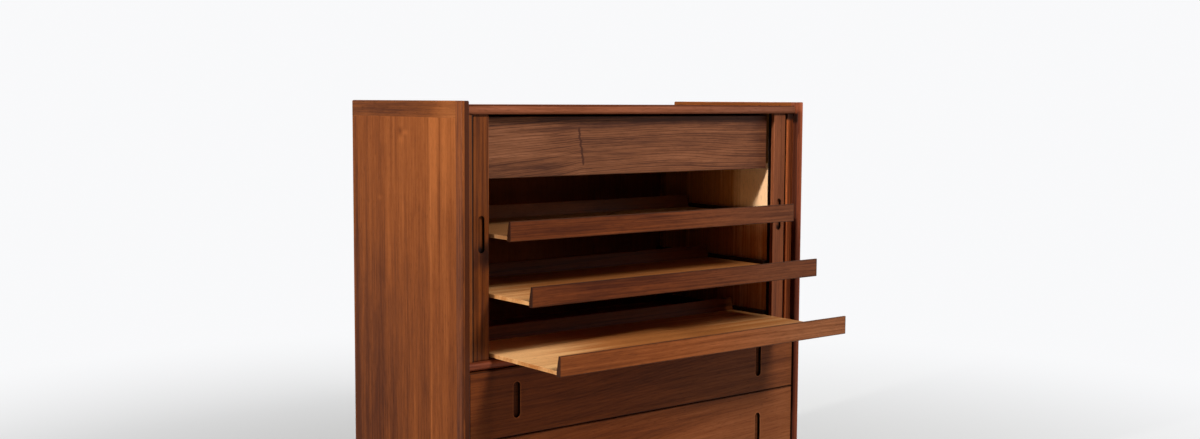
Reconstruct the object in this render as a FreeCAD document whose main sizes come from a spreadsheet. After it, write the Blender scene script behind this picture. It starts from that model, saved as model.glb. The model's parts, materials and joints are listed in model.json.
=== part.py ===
import FreeCAD, Part
import math
import os
import re

import Sketcher

# A free-standing walnut chest with two sliding tambour doors over two wide drawers.
# Behind the doors are a shallow drawer and three open trays, drawn out by growing amounts.
# Millimetres. X runs to the right, Y from front to back, Z up. The origin is on the floor, mid case.

SIZES = {
    # case
    "overall_width": 1000,
    "case_depth": 458,
    "overall_height": 1034,
    "side_thickness": 19,
    "side_stile_depth": 24,
    "side_rail_height": 35,
    "side_edge_radius": 5,
    "side_top_radius": 3,
    "top_thickness": 19,
    "top_recess": 9,
    "top_setback": 10,
    "top_nose_radius": 7,
    "divider_thickness": 18,
    "divider_setback": 9,
    "divider_nose_radius": 8,
    "bottom_thickness": 19,
    "bottom_setback": 9,
    "back_thickness": 6,
    "back_inset": 4,
    "base_height": 115,
    "kick_thickness": 18,
    "kick_setback": 45,
    "brace_thickness": 18,
    # tambour doors and their track
    "strip_width": 18.5,
    "strip_thickness": 5.3,
    "door_gap": 3.5,
    "stile_width": 38.5,
    "stile_thickness": 10,
    "stile_proud": 1,
    "stile_end_gap": 1.5,
    "stile_top_gap": 4.5,
    "stile_slot_width": 16,
    "stile_slot_height": 78,
    "stile_slot_rise": 9.5,
    "stile_slot_depth": 7,
    "stile_slot_lip": 3,
    "stile_slot_undercut": 3,
    "meeting_gap": 1,
    "track_setback": 22.5,
    "track_width": 10,
    "track_depth": 6,
    "track_clearance": 1,
    "slat_pitch": 12,
    "slat_width": 11.2,
    "slat_thickness": 6.5,
    "slat_chamfer": 1.5,
    "slat_start": 0.5,
    "canvas_thickness": 0.8,
    # liners, trays and their runners
    "liner_gap": 7,
    "liner_thickness": 12,
    "tray_side_gap": 3,
    "tray_depth": 380,
    "tray_pitch": 126,
    "tray_floor_gap": 1.5,
    "tray_thickness": 8,
    "tray_foot": 3.5,
    "lip_height": 42,
    "lip_base": 11,
    "lip_top": 4.5,
    "lip_radius": 1.2,
    "lip_clearance": 1,
    "lip_stop": 0.5,
    "tray_1_pull": 84,
    "tray_2_pull": 161,
    "tray_3_pull": 254,
    "runner_grip": 5,
    "runner_clearance": 0.5,
    "runner_sole": 4,
    "runner_cap": 9,
    "back_lip_gap": 2,
    # drawer behind the doors
    "top_drawer_height": 130,
    "top_drawer_gap": 5,
    "top_drawer_depth": 365,
    "top_drawer_front": 18,
    "rail_width": 14,
    "rail_height": 12,
    "guide_height": 14,
    "guide_gap": 1.5,
    # wide drawers
    "drawer_1_height": 145.8,
    "drawer_2_height": 188,
    "drawer_depth": 400,
    "drawer_front": 20,
    "drawer_setback": 6,
    "drawer_side_gap": 1.5,
    "front_gap": 2.5,
    "front_radius": 1.5,
    "drawer_side": 12,
    "drawer_back": 12,
    "drawer_bottom": 6,
    "drawer_bottom_rise": 9,
    "drawer_side_drop": 12,
    "bearer_width": 20,
    "bearer_height": 12,
    "bearer_gap": 0.5,
    "slot_width": 18.5,
    "slot_height": 78.5,
    "slot_inset": 111,
    "slot_rise": 3.5,
    "slot_depth": 8,
    "slot_lip": 3,
    "slot_undercut": 4,
}

doc = FreeCAD.newDocument("tambour_chest")
sheet = doc.addObject("Spreadsheet::Sheet", "Sizes")
for row, (name, size) in enumerate(SIZES.items(), 1):
    sheet.set(f"A{row}", name)
    sheet.set(f"B{row}", str(size))
    sheet.setAlias(f"B{row}", name)
doc.recompute()

# Places shared by several pieces, as formulas of the sizes.
HALF = "(overall_width / 2)"
INNER = f"({HALF} - side_thickness)"
FRONT = "(-case_depth / 2)"
BACK = "(case_depth / 2 - back_inset - back_thickness)"
FLOOR_TOP = "(base_height + bottom_thickness)"
DRAWER_2_Z = f"({FLOOR_TOP} + front_gap)"
DRAWER_1_Z = f"({DRAWER_2_Z} + drawer_2_height + front_gap)"
DIVIDER_Z = f"({DRAWER_1_Z} + drawer_1_height + front_gap)"
DIVIDER_TOP = f"({DIVIDER_Z} + divider_thickness)"
CEILING = "(overall_height - top_recess - top_thickness)"
TURN = "(strip_width + door_gap)"
STILE_OUT = f"({INNER} - {TURN})"
STILE_IN = f"({STILE_OUT} - stile_width)"
TRAY_HALF = f"({STILE_IN} - tray_side_gap)"
RUNNER_IN = f"({TRAY_HALF} - runner_grip)"
LINER_IN = f"({TRAY_HALF} + liner_gap)"
TRACK_Y = f"({FRONT} + track_setback)"
LIP_Y = f"({TRACK_Y} + track_width + lip_clearance)"
LINER_Y = f"({LIP_Y} + lip_base + lip_stop)"
DRAWER_Y = f"({FRONT} + drawer_setback)"
DRAWER_HALF = f"({INNER} - drawer_side_gap)"
TOP_DRAWER_Z = f"({CEILING} - top_drawer_gap - top_drawer_height)"
SIDES = ("left", "right")


def formula(text):
    """The text with every size's name pointing at its cell."""
    return re.sub(r"[a-z]\w*", lambda m: f"Sizes.{m[0]}" if m[0] in SIZES else m[0], text)


def value(text):
    return float(sheet.evalExpression(formula(text)))


def place(obj, x, y, z):
    for axis, text in zip("xyz", (x, y, z)):
        obj.setExpression(f"Placement.Base.{axis}", formula(text))


def on_side(side, x, dx):
    """The low X of a piece dx wide whose low X is x on the right side."""
    return x if side == "right" else f"(-{x} - {dx})"


def board(label, at, size):
    """A plain rectangular piece."""
    box = doc.addObject("Part::Box", label)
    box.Label = label
    for prop, text in zip(("Length", "Width", "Height"), size):
        box.setExpression(prop, formula(text))
    place(box, *at)
    return box


def new_body(label, at):
    body = doc.addObject("PartDesign::Body", label)
    body.Label = label
    place(body, *at)
    return body


def new_sketch(body, role, name, offset=None):
    """A sketch on the body's own XY_Plane, XZ_Plane or YZ_Plane, moved along its normal by offset."""
    sketch = body.newObject("Sketcher::SketchObject", name)
    plane = next(f for f in body.Origin.OriginFeatures if f.Role == role)
    sketch.AttachmentSupport = (plane, [""])
    sketch.MapMode = "FlatFace"
    if offset:
        sketch.setExpression("AttachmentOffset.Base.z", formula(offset))
    return sketch


def hold(sketch, kind, geometry, point, text):
    """Ties one coordinate of a point to a formula, or to the axis where text is "0"."""
    if text == "0":
        axis = -2 if kind == "DistanceX" else -1
        sketch.addConstraint(Sketcher.Constraint("PointOnObject", geometry, point, axis))
        return
    index = sketch.addConstraint(Sketcher.Constraint(kind, -1, 1, geometry, point, value(text)))
    sketch.setExpression(f"Constraints[{index}]", formula(text))


def outline(sketch, points, arcs=()):
    """A closed loop through points given as formulas. arcs maps a segment to its arc's centre."""
    arcs = dict(arcs)
    corners = [FreeCAD.Vector(value(x), value(y), 0) for x, y in points]
    ends = []
    for i, start in enumerate(corners):
        stop = corners[(i + 1) % len(corners)]
        if i not in arcs:
            geometry = sketch.addGeometry(Part.LineSegment(start, stop), False)
            ends.append((geometry, 1, 2))
            continue
        centre = FreeCAD.Vector(*map(value, arcs[i]), 0)
        first = math.atan2(start.y - centre.y, start.x - centre.x)
        last = math.atan2(stop.y - centre.y, stop.x - centre.x)
        turn = (last - first) % (2 * math.pi)
        forward = turn <= math.pi + 1e-6
        low, high = (first, first + turn) if forward else (last, last + 2 * math.pi - turn)
        circle = Part.Circle(centre, FreeCAD.Vector(0, 0, 1), centre.distanceToPoint(start))
        geometry = sketch.addGeometry(Part.ArcOfCircle(circle, low, high), False)
        ends.append((geometry, 1, 2) if forward else (geometry, 2, 1))
        hold(sketch, "DistanceY", geometry, 3, arcs[i][1])
    for i, (geometry, start, stop) in enumerate(ends):
        after, after_start, _ = ends[(i + 1) % len(ends)]
        sketch.addConstraint(Sketcher.Constraint("Coincident", geometry, stop, after, after_start))
        hold(sketch, "DistanceX", geometry, start, points[i][0])
        hold(sketch, "DistanceY", geometry, start, points[i][1])


def rectangle(sketch, dx, dy):
    outline(sketch, [("0", "0"), (dx, "0"), (dx, dy), ("0", dy)])


def stadium(sketch, x, y, width, height):
    """An upright slot with round ends whose low corner is x, y."""
    radius = f"({width} / 2)"
    low, high = f"({y} + {radius})", f"({y} + {height} - {radius})"
    middle, right = f"({x} + {radius})", f"({x} + {width})"
    outline(sketch, [(right, low), (right, high), (x, high), (x, low)],
            {1: (middle, high), 3: (middle, low)})


def pad(body, sketch, length, name):
    feature = body.newObject("PartDesign::Pad", name)
    feature.Profile = sketch
    feature.setExpression("Length", formula(length))
    doc.recompute()
    return feature


def pocket(body, sketch, depth, name, upward=False):
    before = body.Shape.Volume
    feature = body.newObject("PartDesign::Pocket", name)
    feature.Profile = sketch
    feature.Reversed = upward
    feature.setExpression("Length", formula(depth))
    doc.recompute()
    if body.Shape.Volume > before - 1:
        raise RuntimeError(f"{body.Label}: {name} cut nothing")
    return feature


def fillet(body, base, radius, chosen, name):
    """Rounds the edges of base whose bounds satisfy chosen."""
    edges = [f"Edge{i}" for i, edge in enumerate(base.Shape.Edges, 1) if chosen(edge.BoundBox)]
    feature = body.newObject("PartDesign::Fillet", name)
    feature.Base = (base, edges)
    feature.setExpression("Radius", formula(radius))
    doc.recompute()
    return feature


def near(a, b):
    return abs(a - b) < 1e-4


def block(label, at, size, name="blank"):
    """A body that starts as a rectangular blank, with its pad."""
    body = new_body(label, at)
    sketch = new_sketch(body, "XY_Plane", f"{label}_{name}")
    rectangle(sketch, size[0], size[1])
    return body, pad(body, sketch, size[2], f"{label}_pad")


def prism(label, at, points, length):
    """A body with one YZ profile drawn out along X."""
    body = new_body(label, at)
    sketch = new_sketch(body, "YZ_Plane", f"{label}_profile")
    outline(sketch, points)
    return body, pad(body, sketch, length, f"{label}_pad")


def solids(label, shapes):
    """A group of solids that follow a curved path, which no pad or primitive draws."""
    feature = doc.addObject("Part::Feature", label)
    feature.Label = label
    feature.Shape = Part.makeCompound(shapes)
    return feature


# Each side is a panel with upright grain, a rail across its top and a solid upright at the front.
def side(name):
    x = on_side(name, INNER, "side_thickness")
    panel_y = f"({FRONT} + side_stile_depth)"
    panel_depth = "(case_depth - side_stile_depth)"
    panel_height = "(overall_height - side_rail_height)"
    board(f"{name}_side_panel", (x, panel_y, "0"), ("side_thickness", panel_depth, panel_height))

    body, blank = block(f"{name}_side_stile", (x, FRONT, "0"),
                        ("side_thickness", "side_stile_depth", "overall_height"))
    rounded = fillet(body, blank, "side_edge_radius",
                     lambda b: near(b.YMax, 0) and b.ZLength > 1, f"{name}_stile_front_round")
    top, depth = value("overall_height"), value("side_stile_depth")
    fillet(body, rounded, "side_top_radius",
           lambda b: near(b.ZMin, top) and not near(b.YMin, depth), f"{name}_stile_top_round")

    body, blank = block(f"{name}_side_rail", (x, panel_y, panel_height),
                        ("side_thickness", panel_depth, "side_rail_height"))
    height = value("side_rail_height")
    fillet(body, blank, "side_top_radius",
           lambda b: near(b.ZMin, height) and not near(b.YMax, 0), f"{name}_rail_round")


# The doors' track: a straight run behind the front edge that turns back along each side.
def track(sketch, setback):
    width, back = f"(2 * {INNER})", f"({BACK} - {FRONT} - {setback})"
    y1 = f"(track_setback - {setback})"
    y2, centre = f"({y1} + track_width)", f"({y1} + {TURN})"
    far, near_side = f"({width} - {TURN})", TURN
    turn_1, turn_2 = (near_side, centre), (far, centre)
    points = [
        ("0", back), ("0", centre), (near_side, y1), (far, y1), (width, centre), (width, back),
        (f"({width} - track_width)", back), (f"({width} - track_width)", centre), (far, y2),
        (near_side, y2), ("track_width", centre), ("track_width", back),
    ]
    outline(sketch, points, {1: turn_1, 3: turn_2, 7: turn_2, 9: turn_1})


def shelf(label, z, thickness, setback, nose, track_on=None):
    """A board between the sides with a rounded front edge, and the doors' track on one face."""
    body, blank = block(label, (f"-{INNER}", f"({FRONT} + {setback})", z),
                        (f"(2 * {INNER})", f"({BACK} - {FRONT} - {setback})", thickness))
    if nose:
        fillet(body, blank, nose,
               lambda b: near(b.YMax, 0) and b.XLength > 1 and b.ZLength < 1, f"{label}_nose")
    if track_on == "under":
        sketch = new_sketch(body, "XY_Plane", f"{label}_track")
        track(sketch, setback)
        pocket(body, sketch, "track_depth", f"{label}_track_cut", upward=True)
    elif track_on == "top":
        sketch = new_sketch(body, "XY_Plane", f"{label}_track", thickness)
        track(sketch, setback)
        pocket(body, sketch, "track_depth", f"{label}_track_cut")


def case():
    for name in SIDES:
        side(name)
    shelf("top_board", CEILING, "top_thickness", "top_setback", "top_nose_radius", "under")
    shelf("divider_shelf", DIVIDER_Z, "divider_thickness", "divider_setback", "divider_nose_radius", "top")
    shelf("case_bottom", "base_height", "bottom_thickness", "bottom_setback", "divider_nose_radius")
    board("back_panel", (f"-{INNER}", BACK, "base_height"),
          (f"(2 * {INNER})", "back_thickness", f"({CEILING} + top_thickness - base_height)"))
    kick_y, back_kick_y = f"({FRONT} + kick_setback)", f"({BACK} - kick_thickness)"
    for label, y in (("front_kick", kick_y), ("back_kick", back_kick_y)):
        board(label, (f"-{INNER}", y, "0"), (f"(2 * {INNER})", "kick_thickness", "base_height"))
    brace_y = f"({kick_y} + kick_thickness)"
    board("centre_brace", ("(-brace_thickness / 2)", brace_y, "0"),
          ("brace_thickness", f"({back_kick_y} - {brace_y})", "base_height"))
    clear = f"({CEILING} - {DIVIDER_TOP})"
    for name in SIDES:
        board(f"{name}_liner", (on_side(name, LINER_IN, "liner_thickness"), LINER_Y, DIVIDER_TOP),
              ("liner_thickness", f"({BACK} - {LINER_Y})", clear))
        strip_y = f"({TRACK_Y} - strip_thickness)"
        strip_x = on_side(name, f"({INNER} - strip_width)", "strip_width")
        board(f"{name}_fixed_strip", (strip_x, strip_y, DIVIDER_TOP),
              ("strip_width", "strip_thickness", clear))


# The stile that leads each door, with a tongue in both tracks and an undercut finger slot.
def door_stile(name):
    label = f"{name}_door_stile"
    y = f"({TRACK_Y} - stile_proud)"
    z = f"({DIVIDER_TOP} + stile_end_gap)"
    height = f"({CEILING} - {DIVIDER_TOP} - stile_end_gap - stile_top_gap)"
    body, blank = block(label, (on_side(name, STILE_IN, "stile_width"), y, z),
                        ("stile_width", "stile_thickness", height))
    fillet(body, blank, "front_radius", lambda b: near(b.YMax, 0) and b.ZLength > 1, f"{label}_round")
    low_reach = "(stile_end_gap + track_depth - track_clearance)"
    high_reach = "(stile_top_gap + track_depth - track_clearance)"
    tongue_y = "(stile_proud + track_clearance)"
    for end, offset, reach in (("low", f"(-{low_reach})", low_reach), ("high", height, high_reach)):
        tongue = new_sketch(body, "XY_Plane", f"{label}_tongue_{end}", offset)
        outline(tongue, [("0", tongue_y), ("stile_width", tongue_y),
                         ("stile_width", "stile_thickness"), ("0", "stile_thickness")])
        pad(body, tongue, reach, f"{label}_tongue_{end}_pad")
    x = "((stile_width - stile_slot_width) / 2)"
    slot_z = f"({height} / 2 + stile_slot_rise - stile_slot_height / 2)"
    mouth = new_sketch(body, "XZ_Plane", f"{label}_slot_mouth")
    stadium(mouth, x, slot_z, "stile_slot_width", "stile_slot_height")
    pocket(body, mouth, "stile_slot_depth", f"{label}_slot")
    hollow = new_sketch(body, "XZ_Plane", f"{label}_slot_hollow", "(-stile_slot_lip)")
    stadium(hollow, f"({x} - stile_slot_undercut)", f"({slot_z} - stile_slot_undercut)",
            "(stile_slot_width + 2 * stile_slot_undercut)", "(stile_slot_height + 2 * stile_slot_undercut)")
    pocket(body, hollow, "(stile_slot_depth - stile_slot_lip)", f"{label}_undercut")


# The flexible part of each open door, lying in the pocket between side and liner.
def tambour(name):
    sign = 1 if name == "right" else -1
    turn, centre_x = value(TURN), value(STILE_OUT)
    centre_y = value(TRACK_Y) + turn
    thickness, width = value("slat_thickness"), value("slat_width")
    pitch, chamfer = value("slat_pitch"), value("slat_chamfer")
    radius = turn - value("track_clearance") - thickness
    bend = radius * math.pi / 2
    travel = value(STILE_IN) - value("meeting_gap") / 2
    room = bend + value(BACK) - centre_y
    count = int((min(travel, room) - value("slat_start")) // pitch) + (1 if room > travel + pitch else 0)
    low = value(DIVIDER_TOP) - value("track_depth") + value("track_clearance")
    high = value(CEILING) + value("track_depth") - value("track_clearance")

    def on_path(length):
        if length < bend:
            angle = length / radius
            return centre_x + radius * math.sin(angle), centre_y - radius * math.cos(angle)
        return centre_x + radius, centre_y + length - bend

    def upright(corners):
        ring = [FreeCAD.Vector(sign * x, y, low) for x, y in corners]
        return Part.Face(Part.makePolygon(ring + ring[:1])).extrude(FreeCAD.Vector(0, 0, high - low))

    stations = [on_path(value("slat_start") + i * pitch) for i in range(count + 1)]
    slats, inner = [], []
    for (x1, y1), (x2, y2) in zip(stations, stations[1:]):
        length = math.hypot(x2 - x1, y2 - y1)
        along = ((x2 - x1) / length, (y2 - y1) / length)
        out = (along[1], -along[0])
        middle = ((x1 + x2) / 2, (y1 + y2) / 2)

        def corner(a, o):
            return middle[0] + a * along[0] + o * out[0], middle[1] + a * along[1] + o * out[1]

        half = min(width, length - pitch + width) / 2
        slats.append(upright([corner(-half, 0), corner(half, 0), corner(half, thickness - chamfer),
                              corner(half - chamfer, thickness), corner(chamfer - half, thickness),
                              corner(-half, thickness - chamfer)]))
        depth = -value("canvas_thickness")
        inner.append([(x1 + depth * out[0], y1 + depth * out[1]), (x2 + depth * out[0], y2 + depth * out[1])])
    solids(f"{name}_tambour_slats", slats)
    back = [inner[0][0]]
    back += [((a[1][0] + b[0][0]) / 2, (a[1][1] + b[0][1]) / 2) for a, b in zip(inner, inner[1:])]
    back.append(inner[-1][1])
    solids(f"{name}_tambour_canvas", [upright(stations + back[::-1])])


# A tray is a thin board between two tapered lips. Its ends run in grooved runners on the liners.
def tray(number):
    label = f"tray_{number}"
    y = f"({LIP_Y} - {label}_pull)"
    z = f"({DIVIDER_TOP} + tray_floor_gap + {3 - number} * tray_pitch)"
    floor_top = "(tray_foot + tray_thickness)"
    width = f"(2 * {TRAY_HALF})"
    board(f"{label}_bottom", (f"-{TRAY_HALF}", f"({y} + lip_base)", f"({z} + tray_foot)"),
          (width, "(tray_depth - 2 * lip_base)", "tray_thickness"))
    body, blank = prism(f"{label}_front_lip", (f"-{TRAY_HALF}", y, z),
                        [("0", "0"), ("lip_base", "0"), ("lip_base", floor_top),
                         ("lip_top", "lip_height"), ("0", "lip_height")], width)
    top = value("lip_height")
    fillet(body, blank, "lip_radius",
           lambda b: b.XLength > 1 and (near(b.ZMin, top) or near(b.YMax, 0)), f"{label}_front_lip_round")
    back_half = f"({RUNNER_IN} - back_lip_gap)"
    body, blank = prism(f"{label}_back_lip", (f"-{back_half}", f"({y} + tray_depth - lip_base)", z),
                        [("0", "0"), ("lip_base", "0"), ("lip_base", "lip_height"),
                         ("(lip_base - lip_top)", "lip_height"), ("0", floor_top)], f"(2 * {back_half})")
    fillet(body, blank, "lip_radius",
           lambda b: b.XLength > 1 and near(b.ZMin, top), f"{label}_back_lip_round")

    groove = "(tray_thickness + 2 * runner_clearance)"
    depth = "(runner_grip + runner_clearance)"
    run = f"({BACK} - {LINER_Y})"
    runner_z = f"({z} + tray_foot - runner_clearance - runner_sole)"
    thickness = f"({LINER_IN} - {RUNNER_IN})"
    for name in SIDES:
        runner = f"{name}_tray_runner_{number}"
        body, blank = block(runner, (on_side(name, RUNNER_IN, thickness), LINER_Y, runner_z),
                            (thickness, run, f"(runner_sole + {groove} + runner_cap)"))
        cut = new_sketch(body, "XY_Plane", f"{runner}_groove", "runner_sole")
        near_x, far_x = ("0", depth) if name == "right" else (f"({thickness} - {depth})", thickness)
        outline(cut, [(near_x, "0"), (far_x, "0"), (far_x, run), (near_x, run)])
        pocket(body, cut, groove, f"{runner}_groove_cut", upward=True)


def drawer_box(label, half, y, z, depth, height):
    """Two sides, a back and a bottom, from the back of the drawer's front at y."""
    inside = f"({half} - drawer_side)"
    for name in SIDES:
        board(f"{label}_{name}_side", (on_side(name, inside, "drawer_side"), y, z),
              ("drawer_side", depth, height))
    back_y = f"({y} + {depth} - drawer_back)"
    board(f"{label}_back", (f"-{inside}", back_y, z), (f"(2 * {inside})", "drawer_back", height))
    board(f"{label}_bottom", (f"-{inside}", y, f"({z} + drawer_bottom_rise)"),
          (f"(2 * {inside})", f"({depth} - drawer_back)", "drawer_bottom"))


# The shallow drawer behind the doors is plain and is drawn by the lower edge of its front.
def top_drawer():
    front_y = LINER_Y
    body, blank = block("top_drawer_front", (f"-{TRAY_HALF}", front_y, TOP_DRAWER_Z),
                        (f"(2 * {TRAY_HALF})", "top_drawer_front", "top_drawer_height"))
    fillet(body, blank, "front_radius", lambda b: near(b.YMax, 0), "top_drawer_front_round")
    rail_top = f"({TOP_DRAWER_Z} + rail_height)"
    box_y = f"({front_y} + top_drawer_front)"
    drawer_box("top_drawer", TRAY_HALF, box_y, f"({rail_top} + bearer_gap)", "top_drawer_depth",
               "(top_drawer_height - rail_height - bearer_gap - drawer_side_drop / 2)")
    inner_x = f"({TRAY_HALF} - rail_width)"
    width = f"({LINER_IN} - {inner_x})"
    guide = "(liner_gap - guide_gap)"
    for name in SIDES:
        runner = f"{name}_top_drawer_runner"
        body, blank = block(runner, (on_side(name, inner_x, width), f"({box_y} + front_gap)", TOP_DRAWER_Z),
                            (width, f"({BACK} - {box_y} - front_gap)", "rail_height"))
        lug = new_sketch(body, "XY_Plane", f"{runner}_guide", "rail_height")
        near_x, far_x = (f"({width} - {guide})", width) if name == "right" else ("0", guide)
        run = f"({BACK} - {box_y} - front_gap)"
        outline(lug, [(near_x, "0"), (far_x, "0"), (far_x, run), (near_x, run)])
        pad(body, lug, "guide_height", f"{runner}_guide_pad")


# The wide drawers overlap nothing: their fronts lie between the sides and slide on bearers.
def drawer(number, z):
    label = f"drawer_{number}"
    height = f"{label}_height"
    width = f"(2 * {DRAWER_HALF})"
    body, blank = block(f"{label}_front", (f"-{DRAWER_HALF}", DRAWER_Y, z), (width, "drawer_front", height))
    fillet(body, blank, "front_radius", lambda b: near(b.YMax, 0), f"{label}_front_round")
    slot_z = f"({height} / 2 + slot_rise - slot_height / 2)"
    left = "(slot_inset - drawer_side_gap)"
    right = f"({width} - {left} - slot_width)"
    mouths = new_sketch(body, "XZ_Plane", f"{label}_slot_mouths")
    for x in (left, right):
        stadium(mouths, x, slot_z, "slot_width", "slot_height")
    pocket(body, mouths, "slot_depth", f"{label}_slots")
    hollows = new_sketch(body, "XZ_Plane", f"{label}_slot_hollows", "(-slot_lip)")
    for x in (left, right):
        stadium(hollows, f"({x} - slot_undercut)", f"({slot_z} - slot_undercut)",
                "(slot_width + 2 * slot_undercut)", "(slot_height + 2 * slot_undercut)")
    pocket(body, hollows, "(slot_depth - slot_lip)", f"{label}_undercuts")

    box_y = f"({DRAWER_Y} + drawer_front)"
    bearer_top = f"({z} + bearer_height)"
    drawer_box(label, DRAWER_HALF, box_y, f"({bearer_top} + bearer_gap)", "drawer_depth",
               f"({height} - bearer_height - bearer_gap - drawer_side_drop)")
    for name in SIDES:
        board(f"{name}_bearer_{number}",
              (on_side(name, f"({INNER} - bearer_width)", "bearer_width"), f"({box_y} + front_gap)", z),
              ("bearer_width", f"({BACK} - {box_y} - front_gap)", "bearer_height"))


case()
for hand in SIDES:
    door_stile(hand)
    tambour(hand)
top_drawer()
for tray_number in (1, 2, 3):
    tray(tray_number)
drawer(1, DRAWER_1_Z)
drawer(2, DRAWER_2_Z)
doc.recompute()

for obj in doc.Objects:
    if {"Invalid", "Error"} & set(obj.State):
        raise RuntimeError(f"{obj.Name}: {obj.State}")

KINDS = ("Part::Box", "PartDesign::Body", "Part::Feature")
pieces = [obj for obj in doc.Objects if obj.TypeId in KINDS]
os.makedirs("parts", exist_ok=True)
for piece in pieces:
    if piece.Shape.isNull() or not piece.Shape.isValid():
        raise RuntimeError(f"{piece.Label}: no valid shape")
    piece.Shape.exportStep(f"parts/{piece.Label}.step")
print(len(pieces), "pieces written")
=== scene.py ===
import json
import math
import random

import bmesh
import bpy
from mathutils import Matrix, Vector

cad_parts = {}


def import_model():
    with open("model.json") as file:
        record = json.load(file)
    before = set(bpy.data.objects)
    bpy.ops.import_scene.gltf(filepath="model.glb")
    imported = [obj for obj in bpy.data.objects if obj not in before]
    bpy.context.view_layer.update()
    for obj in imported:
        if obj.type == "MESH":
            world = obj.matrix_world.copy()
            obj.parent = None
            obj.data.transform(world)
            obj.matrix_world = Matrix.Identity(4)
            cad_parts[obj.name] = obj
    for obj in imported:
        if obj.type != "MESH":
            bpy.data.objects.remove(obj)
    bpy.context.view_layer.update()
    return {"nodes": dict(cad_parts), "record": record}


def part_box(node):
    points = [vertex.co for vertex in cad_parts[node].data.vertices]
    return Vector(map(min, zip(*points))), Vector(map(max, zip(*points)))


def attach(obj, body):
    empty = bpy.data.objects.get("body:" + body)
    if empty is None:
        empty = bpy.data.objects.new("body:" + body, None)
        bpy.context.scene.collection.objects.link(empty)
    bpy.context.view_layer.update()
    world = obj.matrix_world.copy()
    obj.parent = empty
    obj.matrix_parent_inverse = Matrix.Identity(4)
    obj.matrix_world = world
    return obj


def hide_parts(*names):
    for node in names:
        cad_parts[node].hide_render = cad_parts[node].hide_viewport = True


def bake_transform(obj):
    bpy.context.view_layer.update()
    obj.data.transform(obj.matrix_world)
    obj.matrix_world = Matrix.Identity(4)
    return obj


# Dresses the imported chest: timber on every node, the doors' slats and canvas, screws, camera and light.

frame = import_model()
NODES = frame["nodes"]
SCENE = bpy.context.scene
SIDES = (("left", -1), ("right", 1))


# Materials

class Graph:
    """One material's nodes, written as expressions of sockets and numbers."""

    def __init__(self, name):
        self.material = bpy.data.materials.new(name)
        self.material.use_nodes = True
        self.tree = self.material.node_tree
        self.tree.nodes.clear()
        self.shader = self.add("ShaderNodeBsdfPrincipled")
        self.output = self.add("ShaderNodeOutputMaterial")
        self.tree.links.new(self.shader.outputs["BSDF"], self.output.inputs["Surface"])

    def add(self, kind, **settings):
        """A new node with the given settings."""
        node = self.tree.nodes.new(kind)
        for key, value in settings.items():
            setattr(node, key, value)
        return node

    def feed(self, socket, value):
        """Links a socket to another one, or sets it to a number or colour."""
        if isinstance(value, bpy.types.NodeSocket):
            self.tree.links.new(value, socket)
        else:
            socket.default_value = value

    def result(self, kind, *values, **settings):
        """The first output of a new node whose first inputs are fed with the values."""
        node = self.add(kind, **settings)
        for socket, value in zip(node.inputs, values):
            self.feed(socket, value)
        return node.outputs[0]

    def math(self, operation, *values):
        return self.result("ShaderNodeMath", *values, operation=operation)

    def plus(self, first, *rest):
        for value in rest:
            first = self.math("ADD", first, value)
        return first

    def minus(self, a, b):
        return self.math("SUBTRACT", a, b)

    def times(self, first, *rest):
        for value in rest:
            first = self.math("MULTIPLY", first, value)
        return first

    def linear(self, value, gain, offset):
        return self.math("MULTIPLY_ADD", value, gain, offset)

    def centred(self, value, span):
        """A value from 0 to 1, spread over a span about zero."""
        return self.linear(value, span, -span / 2)

    def rise(self, value, low, high, start=0.0, stop=1.0):
        """Goes smoothly from start to stop as value goes from low to high."""
        return self.result("ShaderNodeMapRange", value, low, high, start, stop,
                           interpolation_type="SMOOTHSTEP")

    def vector(self, x, y, z):
        return self.result("ShaderNodeCombineXYZ", x, y, z)

    def parts(self, vector):
        """The x, y and z of a vector."""
        node = self.add("ShaderNodeSeparateXYZ")
        self.feed(node.inputs[0], vector)
        return list(node.outputs)

    def noise(self, vector, scale=1.0, detail=2.0, roughness=0.5):
        node = self.add("ShaderNodeTexNoise")
        self.feed(node.inputs["Vector"], vector)
        for key, value in (("Scale", scale), ("Detail", detail), ("Roughness", roughness)):
            node.inputs[key].default_value = value
        return node.outputs["Fac"]

    def ramp(self, value, stops):
        """A colour for a value, from pairs of a place on the scale and the colour there."""
        node = self.add("ShaderNodeValToRGB")
        elements = node.color_ramp.elements
        while len(elements) < len(stops):
            elements.new(0.5)
        for element, (place, colour) in zip(elements, stops):
            element.position = place
            element.color = (*colour, 1)
        self.feed(node.inputs[0], value)
        return node.outputs[0]

    def mix(self, share, a, b, mode="MIX"):
        node = self.add("ShaderNodeMix", data_type="RGBA", blend_type=mode)
        self.feed(node.inputs["Factor"], share)
        for key, value in (("A", a), ("B", b)):
            socket = next(s for s in node.inputs if s.name == key and s.type == "RGBA")
            self.feed(socket, value if isinstance(value, bpy.types.NodeSocket) else (*value, 1))
        return next(s for s in node.outputs if s.type == "RGBA")

    def tinted(self, hue, factor):
        """A colour multiplied by another."""
        return self.mix(1.0, hue, factor, "MULTIPLY")

    def bump(self, height, strength, distance):
        """Lets a height bend the shader's normal."""
        node = self.add("ShaderNodeBump")
        node.inputs["Strength"].default_value = strength
        node.inputs["Distance"].default_value = distance
        self.feed(node.inputs["Height"], height)
        self.feed(self.shader.inputs["Normal"], node.outputs[0])

    def finish(self, **values):
        """Feeds the shader's named inputs and gives the material."""
        for key, value in values.items():
            self.feed(self.shader.inputs[key.replace("_", " ")], value)
        return self.material


def face_gap(graph, place, box, axis):
    """How far a place lies inside the nearer of a box's two faces across an axis."""
    low, high = box
    return graph.math("MINIMUM", graph.minus(place[axis], low[axis]), graph.minus(high[axis], place[axis]))


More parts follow.
